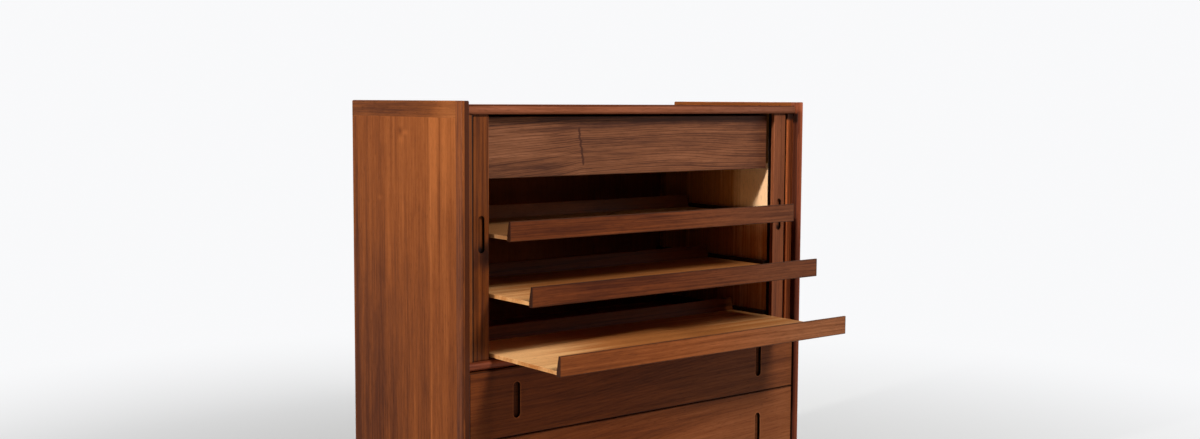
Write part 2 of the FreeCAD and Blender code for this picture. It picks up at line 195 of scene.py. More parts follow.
def edge_share(graph, place, box, reach):
    """1 on a board's arrises, falling to 0 at reach inside them."""
    a, b, c = (face_gap(graph, place, box, axis) for axis in range(3))
    middle = graph.math("MAXIMUM", graph.math("MINIMUM", a, b),
                        graph.math("MINIMUM", graph.math("MAXIMUM", a, b), c))
    return graph.rise(middle, 0.0, reach, 1.0, 0.0)


# Each timber has a dark, a middle and a light tone, which lie at these places on the scale of tones.
TONE_STOPS = (0.18, 0.50, 0.84)
WALNUT = ((0.058, 0.0130, 0.0028), (0.165, 0.0420, 0.0080), (0.290, 0.0840, 0.0190))
MAPLE = ((0.262, 0.088, 0.021), (0.405, 0.146, 0.038), (0.740, 0.405, 0.165))
LINER = ((0.260, 0.095, 0.022), (0.460, 0.180, 0.044), (0.930, 0.580, 0.320))
DRAWER_WOOD = ((0.270, 0.160, 0.078), (0.470, 0.310, 0.165), (0.600, 0.430, 0.250))
DARK = ((0.008, 0.003, 0.002), (0.022, 0.008, 0.004), (0.050, 0.019, 0.009))
SPECIES = {"walnut": WALNUT, "dark_walnut": DARK, "maple": MAPLE, "drawer_wood": DRAWER_WOOD}
# the dark laid as painted shade, and the dark of outlines and of a liner's front edge
PAINTED_SHADE_COLOUR, DARK_LINE = DARK[0], DARK[1]

FIGURE = {
    # waves in a metre along, across and through the board, first random offset, detail, roughness
    "bend": (1.4, 4.0, 4.0, 0, 1.0, 0.5),
    "ripple": (9.0, 22.0, 22.0, 3, 1.0, 0.5),
    "strands": (5.0, 240.0, 240.0, 1, 3.0, 0.6),
    "broad": (0.9, 26.0, 12.0, 4, 3.0, 0.55),
    "blotch": (2.2, 5.0, 5.0, 5, 2.0, 0.5),
    "cloud": (16.0, 75.0, 75.0, 3, 2.0, 0.6),
    "pores": (55.0, 1150.0, 1150.0, 6, 1.0, 0.5),
    "scuffs": (30.0, 60.0, 60.0, 2, 2.0, 0.5),
}
OFFSETS, LARGEST_OFFSET = 9, 20      # random offsets that a board's textures share
RIPPLE = 0.005                       # how far ripples move a ring
LATE_PER_RING = 2.2                  # dark late wood lines to each band of rings
LATE_START, LATE_STOP = (0.62, 0.93), (1.0, 0.95)    # such a line comes in gently and ends sharply
PORES, SCUFFS = (0.585, 0.70), (0.38, 0.66)          # where each noise sets in, and where it is full
BLOTCH = 0.24                        # how strongly blotches show
PORE_DEPTH = 0.34                    # how much a pore darkens the board
WORN_AND_LIT_EDGE, SHADED_EDGE = 0.0022, 0.0030    # how far rubbing with a painted highlight, and a painted edge shade, reach in from an arris
WORN_AND_LIT_GAIN = 1.35                     # how much brighter rubbed arrises and painted highlights are
OUTLINE_EDGE = (0.0008, 0.0030)      # an outline is full up to the first and gone at the second
DARK_EDGE = (0.0007, 0.0009)         # the same for a liner's front edge
RIGHT_TINT_REACH = (-0.15, 0.38)         # the right end's tint, a painted reflection haze on fronts and lips and a plain tint on the top board, starts at the first x and is full at the second
END_GRAIN = (0.75, 0.92)             # how squarely a face has to lie across the grain


def wood(name, node, along, across, tones, seed, colour=(1, 1, 1), shade=0.0, centre=(0.03, -0.05),
         slope=0.0, sway=0.02, rings=70.0, bands=0.55, fibre=0.40, streak=0.35, line=0.16, wear_and_highlight=0.35,
         rough=0.46, gloss=0.12, end=0.40, edge_shade=0.0, outline=0.0, mottle=0.12, right_tint_and_haze=None,
         level_from=None, marks=None, coords=None, painted_shade=None, dark_front=False):
    """Sawn timber: growth rings about a slanting pith, fibres and pores along the board, rubbed arrises, and
    painted light and shade.

    along and across are the axes of the grain and of the wide face. centre, slope and sway place the pith,
    and its slope ends at level_from. bands, fibre, streak, mottle and line say how strongly rings, fibres,
    streaks, mottling and late wood show. Arrises are lightened where use has rubbed them, and on some parts
    further as a painted highlight; they are darkened as painted shade where the gaps between parts fall dark,
    and outline gives them dark edges. end darkens end grain, and the right end is tinted, on fronts and lips
    as a painted reflection haze. marks adds tone at fixed places, painted light and shade among it, the
    painted shade mask says where shade is painted in recesses and gaps, and coords gives other places than
    the object's own.
    """
    graph = Graph(name)
    where = graph.add("ShaderNodeTexCoord")
    place = graph.parts(where.outputs["Object"])
    at = dict(zip("xyz", place))
    if coords:
        at.update(coords(graph, at))
    through = next(axis for axis in "xyz" if axis not in (along, across))
    ways = [at[along], at[across], at[through]]
    s, u, d = ways    # along the grain, across it and through the board
    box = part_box(node)
    low, high = box
    middle = dict(zip("xyz", (low + high) / 2))
    roll = random.Random(seed)
    offsets = [roll.uniform(0, LARGEST_OFFSET) for _ in range(OFFSETS)]

    def texture(kind):
        """Noise drawn out along the grain, from its row of FIGURE."""
        *rates, first, detail, roughness = FIGURE[kind]
        scaled = [graph.linear(way, rate, shift) for way, rate, shift in zip(ways, rates, offsets[first:])]
        return graph.noise(graph.vector(*scaled), detail=detail, roughness=roughness)

    # Growth rings
    bend = graph.centred(texture("bend"), sway)
    ripple = graph.centred(texture("ripple"), RIPPLE)
    run = s if level_from is None else graph.math("MINIMUM", s, level_from)
    drift = graph.linear(run, slope, -slope * middle[along])
    ring_u = graph.plus(u, -middle[across] - centre[0], bend, ripple, drift)
    ring_d = graph.plus(d, -middle[through] - centre[1], graph.times(bend, 0.6))
    radius = graph.math("SQRT", graph.plus(graph.times(ring_u, ring_u), graph.times(ring_d, ring_d)))
    ring_place = graph.vector(graph.linear(radius, rings, offsets[0]), offsets[1],
                              graph.linear(s, 0.5, offsets[2]))
    band = graph.noise(ring_place, detail=3.0, roughness=0.62)
    saw = graph.math("FRACT", graph.plus(graph.times(radius, rings * LATE_PER_RING), graph.times(band, 3.0)))
    late = graph.times(graph.rise(saw, *LATE_START), graph.rise(saw, *LATE_STOP))

    # Tone
    strands = texture("strands")
    blotch = texture("blotch")
    pores = graph.rise(texture("pores"), *PORES)
    value = graph.plus(
        graph.linear(band, bands, 0.5 + shade - bands / 2),
        graph.centred(strands, fibre),
        graph.centred(texture("broad"), streak),
        graph.centred(blotch, BLOTCH),
        graph.centred(texture("cloud"), mottle),
        graph.times(late, -line))
    if marks:
        value = graph.plus(value, marks(graph, at))
    shades = [tuple(t * c for t, c in zip(tone, colour)) for tone in tones]
    hue = graph.ramp(value, list(zip(TONE_STOPS, shades)))
    # The right end tinted: a painted reflection haze on fronts and lips, a plain tint on the top board
    if right_tint_and_haze:
        hue = graph.tinted(hue, graph.mix(graph.rise(place[0], *RIGHT_TINT_REACH), (1, 1, 1), right_tint_and_haze))
    pore_shade = graph.linear(pores, -PORE_DEPTH, 1.0)
    hue = graph.tinted(hue, graph.vector(pore_shade, pore_shade, pore_shade))

    # Rubbing, painted highlights, dark outlines, end grain and painted shade
    scuffs = graph.rise(texture("scuffs"), *SCUFFS)
    # Arrises lightened where rubbed, and on some parts further as a painted highlight
    edges = graph.times(edge_share(graph, place, box, WORN_AND_LIT_EDGE), graph.linear(scuffs, 0.7, 0.3))
    worn_and_lit = tuple(min(1.0, WORN_AND_LIT_GAIN * (0.55 * a + 0.45 * b)) for a, b in zip(*shades[1:]))
    hue = graph.mix(graph.times(edges, wear_and_highlight), hue, worn_and_lit)
    # Painted shade along a board's edges, where the gaps between parts fall dark
    if edge_shade:
        hue = graph.mix(graph.times(edge_share(graph, place, box, SHADED_EDGE), edge_shade), hue, PAINTED_SHADE_COLOUR)
    if outline:
        gaps = [face_gap(graph, place, box, "xyz".index(axis)) for axis in (along, across)]
        border = graph.rise(graph.math("MINIMUM", *gaps), *OUTLINE_EDGE, outline, 0.0)
        hue = graph.mix(border, hue, DARK_LINE)
    facing = graph.parts(where.outputs["Normal"])
    lengthwise = graph.math("ABSOLUTE", facing["xyz".index(along)])
    hue = graph.tinted(hue, graph.mix(graph.rise(lengthwise, *END_GRAIN), (1, 1, 1), (end, end, end)))
    # Painted shade in recesses, in gaps and under the top
    if painted_shade:
        hue = graph.mix(painted_shade(graph, at), hue, PAINTED_SHADE_COLOUR)
    if dark_front:
        front = graph.rise(place[1], low.y + DARK_EDGE[0], low.y + DARK_EDGE[1], 1.0, 0.0)
        hue = graph.mix(front, hue, DARK_LINE)

    # Gloss and relief
    sheen = graph.plus(graph.linear(strands, 0.10, rough - 0.05), graph.times(pores, 0.12),
                       graph.centred(blotch, 0.12), graph.times(edges, 0.06))
    relief = graph.plus(graph.times(strands, 0.5), graph.times(pores, -0.5), graph.times(late, -0.15))
    graph.bump(relief, strength=0.22, distance=0.0004)
    return graph.finish(Base_Color=hue, Roughness=sheen, Specular_IOR_Level=gloss)


THREAD = 0.0011    # from one canvas thread to the next but one
CANVAS_TONES = ((0.1, (0.16, 0.12, 0.075)), (0.5, (0.40, 0.33, 0.23)), (0.9, (0.55, 0.48, 0.36)))
STEEL_TONES = ((0.30, (0.20, 0.13, 0.08)), (0.48, (0.46, 0.43, 0.38)), (0.8, (0.62, 0.60, 0.56)))


def canvas_cloth(name):
    """Plain woven canvas: crossing threads about half a millimetre wide, stained unevenly by glue."""
    graph = Graph(name)
    where = graph.add("ShaderNodeTexCoord")
    u, v, _ = graph.parts(where.outputs["UV"])
    warp, weft = (graph.math("SINE", graph.times(way, 2 * math.pi / THREAD)) for way in (u, v))
    thread = graph.plus(graph.linear(graph.times(warp, weft), 0.5, 0.5),
                        graph.times(graph.math("ABSOLUTE", warp), 0.25))
    stain = graph.noise(graph.vector(graph.times(u, 9.0), graph.times(v, 9.0), 0.0), detail=3.0)
    slub = graph.noise(graph.vector(graph.times(u, 60.0), graph.times(v, 900.0), 1.0), detail=1.0)
    value = graph.plus(graph.linear(thread, 0.35, 0.20), graph.centred(stain, 0.5),
                       graph.linear(slub, 0.3, -0.05))
    graph.bump(thread, strength=0.5, distance=0.0003)
    return graph.finish(Base_Color=graph.ramp(value, CANVAS_TONES), Roughness=graph.linear(stain, 0.1, 0.82),
                        Specular_IOR_Level=0.2)


def steel(name):
    """Small zinc-plated screw heads, dulled and slightly rusted."""
    graph = Graph(name)
    where = graph.add("ShaderNodeTexCoord")
    rust = graph.noise(where.outputs["Object"], scale=420.0, detail=3.0)
    graph.bump(rust, strength=0.25, distance=0.0002)
    return graph.finish(Base_Color=graph.ramp(rust, STEEL_TONES), Roughness=graph.linear(rust, -0.3, 0.58),
                        Metallic=0.9)


# Tones, painted light and painted shade at fixed places

# Each function here gives marks, which add to the tone and in places carry painted light and shade, or a
# mask of painted shade, which is a share of a dark colour laid where shade falls. Both are made from the
# places of a point, in metres, along x, y, z or a measure of the function's own.

def fade(axis, low, high, start=0.0, stop=1.0):
    """Goes smoothly from start at one place along an axis to stop at another."""
    return lambda graph, at: graph.rise(at[axis], low, high, start, stop)


def ridge(axis, place, width, amount):
    """A soft ridge centred on a place along an axis."""
    def marks(graph, at):
        gap = graph.times(graph.minus(at[axis], place), 1 / width)
        return graph.times(graph.math("EXPONENT", graph.times(gap, gap, -1.0)), amount)
    return marks


def total(*parts):
    """Several parts added up."""
    return lambda graph, at: graph.plus(*(part(graph, at) for part in parts))


def product(*parts):
    """Several parts multiplied."""
    return lambda graph, at: graph.times(*(part(graph, at) for part in parts))


def larger(a, b):
    """The larger of two parts."""
    return lambda graph, at: graph.math("MAXIMUM", a(graph, at), b(graph, at))


def both_sides(part):
    """The same on the left and on the right, with x as the distance from the middle."""
    return lambda graph, at: part(graph, at | {"x": graph.math("ABSOLUTE", at["x"])})


def staves(axis, *joints):
    """A panel glued up from boards: each joint has its place and how much the tone changes there."""
    half = 0.0004
    return total(*(fade(axis, place - half, place + half, 0.0, change) for place, change in joints))


def by_slot(slot, part):
    """Gives a part the measure reach, the distance from the middle line of a slot with round ends."""
    x, z, half_x, half_z = slot

    def marks(graph, at):
        dx = graph.minus(at["x"], x)
        past_end = graph.minus(graph.math("ABSOLUTE", graph.minus(at["z"], z)), half_z - half_x)
        dz = graph.math("MAXIMUM", past_end, 0.0)
        reach = graph.math("SQRT", graph.plus(graph.times(dx, dx), graph.times(dz, dz)))
        return part(graph, at | {"reach": reach})
    return marks


def finger_slot_shade(slot, cut, rim_shade=0.15, foot=0.0):
    """Painted shade on a routed finger slot's walls, round the rim of its floor and, if asked, in its foot.
    """
    _, z, half_x, half_z = slot
    face, depth, undercut = cut
    bottom, side, foot_z = face + depth, half_x + undercut, z - half_z
    walls = fade("y", face + 0.0006, face + 0.0016, 0.0, 0.93)
    floor = fade("y", bottom - 0.0010, bottom - 0.0003)
    ahead_of_floor = fade("y", bottom - 0.0010, bottom - 0.0003, 1.0, 0.0)
    rim = fade("reach", half_x - 0.0030, half_x + 0.0006, rim_shade, 0.96)
    foot_shade = fade("z", foot_z + 0.006, foot_z + 0.018, foot, 0.0)
    inside = fade("reach", side + 0.0006, side + 0.0014, 1.0, 0.0)
    not_behind = fade("y", bottom + 0.0008, bottom + 0.0016, 1.0, 0.0)
    walls_and_rim_shade = total(product(walls, ahead_of_floor), product(larger(rim, foot_shade), floor))
    return by_slot(slot, product(walls_and_rim_shade, inside, not_behind))


def slot_rim_highlight(slot):
    """The lighter edge round a finger slot, a painted highlight."""
    half_x = slot[2]
    return by_slot(slot, product(fade("reach", half_x - 0.0010, half_x, 0.0, 0.30),
                                 fade("reach", half_x + 0.0006, half_x + 0.0022, 1.0, 0.0)))


def front_edge_light(lit, dull, dark):
    """A side's front edge: a painted highlight on its outer arris, a duller face, painted shade towards the
    inner arris.
    """
    ahead = fade("y", -0.2275, -0.2245, 1.0, 0.0)
    face = total(ridge("x", 0.4950, 0.0014, lit), fade("x", 0.4930, 0.4965, -dull, 0.0))
    inner = fade("x", 0.4845, 0.4880, -dark, 0.0)
    return both_sides(total(product(face, ahead), inner))


def tray_floor(left, shade, reach=-0.15, edge_tone=0.12, right=0.20):
    """A tray's floor: its left end up to reach lightened as painted light, or darkened as painted shade for a
    negative left; a lighter right end; and the tone of its sawn left edge.
    """
    edge = (-0.4173, -0.4168)
    floor = total(fade("x", -0.42, reach, left + shade, shade), fade("x", 0.0, 0.30, 0.0, right))
    return total(fade("x", *edge, edge_tone, 0.0), product(fade("x", *edge), floor))


LINE_X, LINE_Z = -0.161, 0.935    # the middle of the figure line in the drawer behind the doors


def figure_line(graph, at):
    """The drawer front's short dark figure line, which runs down to the right, the tones beside it, and a
    painted shadow of the top board along its top.
    """
    lean, width, wander = -0.16, 0.0023, 0.012
    across = graph.minus(at["x"], graph.linear(at["z"], lean, LINE_X - lean * LINE_Z))
    wave = graph.noise(graph.vector(0.0, 3.0, graph.times(at["z"], 60.0)))
    measures = at | {"across": across, "off_line": graph.plus(across, graph.centred(wave, wander))}
    marks = total(
        product(ridge("off_line", 0.0, width, -0.72), fade("z", 0.890, 0.900),
                fade("z", 0.968, 0.980, 1.0, 0.0)),
        product(fade("x", -0.33, -0.20, 0.13, -0.03), fade("across", -0.002, 0.004, 1.0, 0.0)),
        product(fade("z", 0.893, 0.918, -0.28, 0.0), fade("x", -0.27, -0.17, 1.0, 0.0)),
        fade("across", 0.0, 0.006, 0.0, -0.06),
        fade("x", 0.34, 0.40, 0.0, -0.14),
        # a painted shadow of the top board along the drawer's top
        fade("z", 0.960, 1.000, 0.0, -0.22))
    return marks(graph, measures)


SPOTS = (
    # y and z of the middle, half width, half height, tone: a swirl near the top and a feather lower down
    (0.0150, 0.9690, 0.0090, 0.0075, -0.22),
    (-0.0050, 0.9650, 0.0110, 0.0055, 0.22),
    (0.0150, 0.9500, 0.0100, 0.0085, 0.15),
    (0.1068, 0.8200, 0.0070, 0.0070, 0.16),
)
UPPER = (0.60, 0.95)    # heights over which the panel's lower part passes into the upper one
# Three staves, lighter to the front and painted lighter towards the top where more light falls, with paler
# and darker upright streaks
LEFT_PANEL = total(
    staves("y", (-0.1027, -0.08), (0.0516, -0.08)),
    *(product(ridge("y", y, wide, 1.0), ridge("z", z, high, tone)) for y, z, wide, high, tone in SPOTS),
    fade("z", 0.30, 1.0, -0.13, 0.13),
    ridge("y", -0.1060, 0.0040, 0.20),
    product(total(ridge("y", -0.1190, 0.0100, 0.16), ridge("y", -0.1420, 0.0070, -0.24)), fade("z", *UPPER)),
    product(fade("y", -0.104, -0.098, 0.13, 0.0), fade("z", 0.76, 0.96)),
    product(ridge("y", -0.1560, 0.0200, 0.06), fade("z", *UPPER, 1.0, 0.0)),
    ridge("y", 0.2140, 0.0080, -0.22))
# A fixed strip's painted highlight on its inner arris, two dark upright lines and a painted shadow on its
# foot
STRIP_LIGHT_AND_LINES = both_sides(total(
    fade("z", 0.56, 0.66, -0.22, 0.0),
    ridge("x", 0.4630, 0.0016, 0.45),
    ridge("x", 0.4705, 0.0012, -0.45),
    ridge("x", 0.4765, 0.0016, -0.55)))
# Painted shade on the inner face of a side: darkest beside the drawers and under the top, faint above the top
SIDE_INNER_SHADE = both_sides(product(
    fade("x", 0.4814, 0.4824, 1.0, 0.0),
    total(fade("z", 0.49, 0.52, 0.92, 0.56), fade("z", 0.978, 0.988, 0.0, 0.39),
          fade("z", 1.004, 1.008, 0.0, -0.82))))
# Painted light on a liner's front end above the first tray, painted shade deeper in and beside the drawer
BESIDE_DRAWER = (0.878, 0.890)
LINER_LIGHT_AND_SHADE = total(
    product(fade("y", -0.155, -0.045, 1.0, 0.0), fade("z", 0.68, 0.81, 0.02, 0.72),
            fade("z", *BESIDE_DRAWER, 1.0, 0.0)),
    fade("y", -0.14, 0.05, 0.0, -0.14),
    fade("z", *BESIDE_DRAWER, 0.0, -0.50))
# Painted light on the sides' front edges: the left one is painted darker towards the floor, where less light
# falls, the right one darker low down, lighter beside the doors and with a painted highlight on top.
LEFT_SIDE_EDGE = total(front_edge_light(0.40, 0.48, 0.45), fade("z", 0.30, 1.0, -0.16, 0.08))
RIGHT_SIDE_EDGE = total(front_edge_light(0.20, 0.05, 0.15), fade("z", 0.62, 0.80, -0.06, 0.12),
                        fade("z", 1.004, 1.020, 0.0, 0.28))
# The left door's stile is paler above, with a painted shadow below its slot.
LEFT_DOOR = total(fade("z", 0.55, 0.95, -0.08, 0.08), ridge("z", 0.708, 0.022, -0.26))
# The top board's upper arris is darkened.
TOP_NOSE = product(fade("z", 1.0215, 1.0240, 0.0, -0.30), fade("y", -0.213, -0.203, 1.0, 0.0))
RAIL_END = fade("y", -0.175, -0.095, 0.26, 0.0)                    # the left rail's lighter front end
BACK_PANEL_LIGHT = fade("x", -0.05, 0.18, 0.42, 0.0)                      # painted light on the back panel's left half
BACK_LIP_LIGHT = fade("x", -0.04, 0.16, 0.52, 0.02)                 # painted light on the left of the first tray's back lip
LIP_RIGHT = fade("x", -0.35, 0.35, -0.05, 0.06)                    # a front lip, fading to the right
LIP_ENDS = total(LIP_RIGHT, fade("x", -0.42, -0.24, 0.15, 0.0))    # the same, and paler at the left end
STRIP_TOP_SHADOW = fade("z", 0.986, 0.995, 0.0, 0.92)                     # painted shadow of the top board on a fixed strip's upper end
STRIP_ARRIS_SHADE = fade("x", -0.4658, -0.4648, 0.0, 0.97)               # painted shade on the left one's inner arris, where the gap to the door falls dark


# The look of each node

# x and z of a slot's middle, half its width, half its height
LEFT_DOOR_SLOT = (-0.43975, 0.75765, 0.0080, 0.0390)
RIGHT_DOOR_SLOT = (0.43975, 0.75765, 0.0080, 0.0390)
DRAWER_1_SLOT = (0.36075, 0.4034, 0.00925, 0.03925)
DRAWER_2_SLOT = (0.36075, 0.2340, 0.00925, 0.03925)
# y of the face, depth and undercut of a slot
DOOR_CUT = (-0.2075, 0.0070, 0.0030)
DRAWER_CUT = (-0.2230, 0.0080, 0.0040)

PANEL = dict(bands=0.26, line=0.03, streak=0.55, fibre=0.55, mottle=0.26, gloss=0.04, rings=60, slope=0.01)
SIDE_STILE = dict(shade=-0.10, centre=(0.2, 0.1), wear_and_highlight=0.0, painted_shade=SIDE_INNER_SHADE)
LIP = dict(colour=(0.99, 0.95, 1.25), right_tint_and_haze=(0.96, 1.23, 1.92), gloss=0.07, shade=-0.14, centre=(0.10, 0.05),
           line=0.10, bands=0.40, fibre=0.6, mottle=0.25, wear_and_highlight=0.0, outline=0.65, marks=LIP_RIGHT)
BACK_LIP = dict(gloss=0.09, rough=0.42)
TRAY = dict(gloss=0.08, rough=0.62)
PALE = dict(bands=0.5, fibre=0.30, streak=0.35, line=0.06, centre=(0.25, 0.1), rings=45, wear_and_highlight=0.2, end=0.85)


def drawer_front(slot, **more):
    """A wide drawer's front: painted light on its ends, a painted reflection haze to the right, painted shade
    along its edges and in its two slots, and painted highlights round their rims.
    """
    ends = total(fade("x", -0.47, -0.42, 0.14, 0.0), fade("x", 0.40, 0.46, 0.0, 0.07))
    return dict(colour=(0.90, 0.84, 0.95), right_tint_and_haze=(1.10, 1.34, 1.90), gloss=0.06, sway=0.06, rings=55,
                line=0.08, bands=0.42, wear_and_highlight=0.0, edge_shade=0.9, marks=total(both_sides(slot_rim_highlight(slot)), ends),
                painted_shade=both_sides(finger_slot_shade(slot, DRAWER_CUT, rim_shade=0.45)), **more)


LOOKS = {
    "left_side_panel": PANEL | dict(colour=(1.0, 1.02, 1.12), centre=(0.3, 0.1), shade=0.07,
                                    marks=LEFT_PANEL),
    "right_side_panel": PANEL | dict(centre=(0.25, -0.1), marks=staves("y", (-0.06, 0.08), (0.09, -0.13))),
    "left_side_rail": PANEL | dict(colour=(1.06, 1.18, 1.50), shade=-0.13, slope=0.06, centre=(0.06, 0.06),
                                   marks=RAIL_END),
    "right_side_rail": PANEL | dict(shade=0.12, slope=0.05, centre=(0.05, 0.05)),
    "left_side_stile": SIDE_STILE | dict(fibre=0.7, mottle=0.3, gloss=0.10, marks=LEFT_SIDE_EDGE),
    "right_side_stile": SIDE_STILE | dict(colour=(1.28, 1.22, 2.5), gloss=0.04, marks=RIGHT_SIDE_EDGE),
    "top_board": dict(colour=(1.36, 1.62, 3.8), right_tint_and_haze=(0.70, 0.78, 0.88), centre=(0.2, 0.1), line=0.06,
                      gloss=0.0, marks=TOP_NOSE),
    "divider_shelf": dict(colour=(1.80, 1.62, 2.9), shade=-0.05, centre=(0.2, 0.1), line=0.06),
    "top_drawer_front": dict(colour=(1.05, 1.42, 3.00), centre=(-0.30, 0.05), slope=-0.13, level_from=LINE_X,
                             sway=0.085, rings=75, line=0.26, bands=0.60, fibre=0.65, mottle=0.30, wear_and_highlight=0.0,
                             edge_shade=0.6, marks=figure_line),
    "left_liner": dict(tones=LINER, dark_front=True),
    "right_liner": dict(tones=LINER, shade=0.06, dark_front=True, marks=LINER_LIGHT_AND_SHADE),
    "back_panel": dict(shade=-0.20, centre=(0.3, 0.1), bands=0.12, fibre=0.2, streak=0.12, line=0.0,
                       gloss=0.05, marks=BACK_PANEL_LIGHT),
    "left_fixed_strip": dict(wear_and_highlight=0.0, painted_shade=STRIP_ARRIS_SHADE),
    "right_fixed_strip": dict(colour=(1.0, 0.85, 0.9), wear_and_highlight=0.3, marks=STRIP_LIGHT_AND_LINES, painted_shade=STRIP_TOP_SHADOW),
    "left_door_stile": dict(colour=(1.05, 0.99, 0.76), streak=0.95, fibre=0.85, bands=0.5, shade=-0.04,
                            wear_and_highlight=0.6, marks=LEFT_DOOR,
                            painted_shade=finger_slot_shade(LEFT_DOOR_SLOT, DOOR_CUT, foot=0.95)),
    "right_door_stile": dict(colour=(1.12, 1.26, 2.3), centre=(0.2, 0.1), wear_and_highlight=0.5,
                             painted_shade=finger_slot_shade(RIGHT_DOOR_SLOT, DOOR_CUT, foot=0.95)),
    # The first drawer's front is toned darker than the second as painted shade under the third tray.
    "drawer_1_front": drawer_front(DRAWER_1_SLOT, centre=(0.12, 0.04), slope=-0.08, shade=-0.14),
    "drawer_2_front": drawer_front(DRAWER_2_SLOT, centre=(0.15, 0.04), slope=-0.09, shade=0.02),
    "tray_1_front_lip": LIP,
    "tray_2_front_lip": LIP | dict(shade=-0.19, marks=LIP_ENDS),
    "tray_3_front_lip": LIP | dict(shade=0.11, streak=0.6, colour=(1.10, 1.10, 1.30)),
    # The trays' floors carry painted light: the lower two lighter at the left end, where the side light
    # falls, the first one greyer and darker at the left end as painted shade.
    "tray_1_bottom": TRAY | dict(colour=(0.72, 0.86, 1.14), marks=tray_floor(-0.32, 0.10, edge_tone=-0.04)),
    "tray_2_bottom": TRAY | dict(marks=tray_floor(0.24, -0.09, right=0.06)),
    "tray_3_bottom": TRAY | dict(marks=tray_floor(0.52, -0.14, reach=-0.02)),
    # The first tray's back lip is tinted greyer as a painted reflection, and lighter to the left as painted
    # light.
    "tray_1_back_lip": BACK_LIP | dict(colour=(1.0, 1.15, 1.5), gloss=0.18, marks=BACK_LIP_LIGHT),
    "tray_2_back_lip": BACK_LIP,
    "tray_3_back_lip": BACK_LIP,
}
GRAIN = (
    # part of a node's name, axis along the grain, axis across the wide face
    ("side_panel", "z", "y"),
    ("side_stile", "z", "y"),
    ("side_rail", "y", "z"),
    ("liner", "z", "y"),
    ("fixed_strip", "z", "x"),
    ("door_stile", "z", "x"),
    ("tambour_slats", "z", "y"),
    ("runner", "y", "z"),
    ("bearer", "y", "z"),
    ("centre_brace", "y", "z"),
    ("top_board", "x", "y"),
    ("divider_shelf", "x", "y"),
    ("case_bottom", "x", "y"),
    ("back_panel", "z", "x"),
    ("kick", "x", "z"),
    ("_lip", "x", "z"),
    ("_front", "x", "z"),
    ("_left_side", "y", "z"),
    ("_right_side", "y", "z"),
    ("_bottom", "x", "y"),
    ("_back", "x", "z"),
)

slot_of = {part["node"]: part["material_slot"] for part in frame["record"]["subparts"]}
for number, name in enumerate(sorted(NODES)):
    slot = slot_of[name]
    if slot == "canvas":
        continue
    along, across = next((a, b) for part, a, b in GRAIN if part in name)
    look = dict(LOOKS.get(name, {}))
    if slot in ("maple", "drawer_wood"):
        look = PALE | look
    tones = look.pop("tones", SPECIES[slot])
    material = wood(f"{name}_wood", name, along, across, tones, number + 1, **look)
    mesh = NODES[name].data
    mesh.materials.clear()
    mesh.materials.append(material)


# Plain boards get their arrises broken, as sanding leaves them.

WELD_DISTANCE = 0.00002
ARRIS_ANGLE = math.radians(40)    # a sharper edge than this is an arris
PANEL_ARRIS, BOARD_ARRIS = 0.0003, 0.0005


def ease(name, width):
    """Breaks a board's arrises. The modifiers leave its mesh as it is."""
    piece = NODES[name]
    weld = piece.modifiers.new("weld", "WELD")
    weld.merge_threshold = WELD_DISTANCE
    bevel = piece.modifiers.new("arris", "BEVEL")
    bevel.limit_method = "ANGLE"
    bevel.angle_limit = ARRIS_ANGLE
    bevel.width = width
    bevel.segments = 2
    bevel.harden_normals = False


PLAIN = ("side_panel", "liner", "fixed_strip", "bearer", "centre_brace", "back_panel", "kick",
         "_left_side", "_right_side")
for name in NODES:
    if any(part in name for part in PLAIN) or name.startswith("tray") and name.endswith("_bottom"):
        ease(name, PANEL_ARRIS if "panel" in name else BOARD_ARRIS)


# The tambour, with the lengths of part.py in metres

TRAVEL = 0.42                   # a door's way from open to shut
PITCH = 0.012                   # from one slat to the next
SLAT = 0.0112                   # a slat's width
SLAT_DEPTH = 0.0065
CHAMFER = 0.0015                # the slats' broken edges
CANVAS_DEPTH = 0.0008
CANVAS_SLATS = 34               # slats that the canvas joins
CANVAS_START = 0.0005           # from the turn's start to the canvas
TURN, CLEARANCE = 0.022, 0.001  # radius of the track's turn, and the slats' play in the track
STILE_GAP = 0.0004              # from the stile to the first slat
CURTAIN_END = 0.008             # least room from the last slat to the side
HALVINGS = 50
SLAT_CONTRAST = 0.34            # how much the slats' tones differ
CURTAIN_SEED, TONE_SEED = 90, 61


def new_piece(name, build, material):
    """A new object whose mesh is made by build."""
    mesh = bpy.data.meshes.new(name)
    shape = bmesh.new()
    build(shape)
    shape.normal_update()
    shape.to_mesh(mesh)
    shape.free()
    mesh.materials.append(material)
    piece = bpy.data.objects.new(name, mesh)
    SCENE.collection.objects.link(piece)
    return piece


def stile_edge(side):
    """How far the outer edge of an open door's stile lies from the middle."""
    return max(abs(corner.x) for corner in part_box(f"{side}_door_stile"))


def open_place(shut, near, far):
    """Where a point lies with the door open that lies at shut with the door shut, both from the middle.
    """
    low, high = 0.0, 1.0
    for _ in range(HALVINGS):
        share = (low + high) / 2
        if far - (far - near) * share - TRAVEL * share * share * (3 - 2 * share) > shut:
            low = share
        else:
            high = share
    return far - (far - near) * (low + high) / 2


def unrolled(graph, at):
    """Places along the unrolled curtain, and open_x, how far from the middle they lie in the open door."""
    flat = graph.add("ShaderNodeUVMap", uv_map="UVMap")
    x, z, _ = graph.parts(flat.outputs[0])
    return {"x": x, "z": z, "open_x": graph.math("ABSOLUTE", at["x"])}


def slat_tone(graph, at):
    """Each slat's own tone."""
    tone = graph.add("ShaderNodeAttribute", attribute_name="slat_tone")
    return graph.centred(tone.outputs["Fac"], SLAT_CONTRAST)


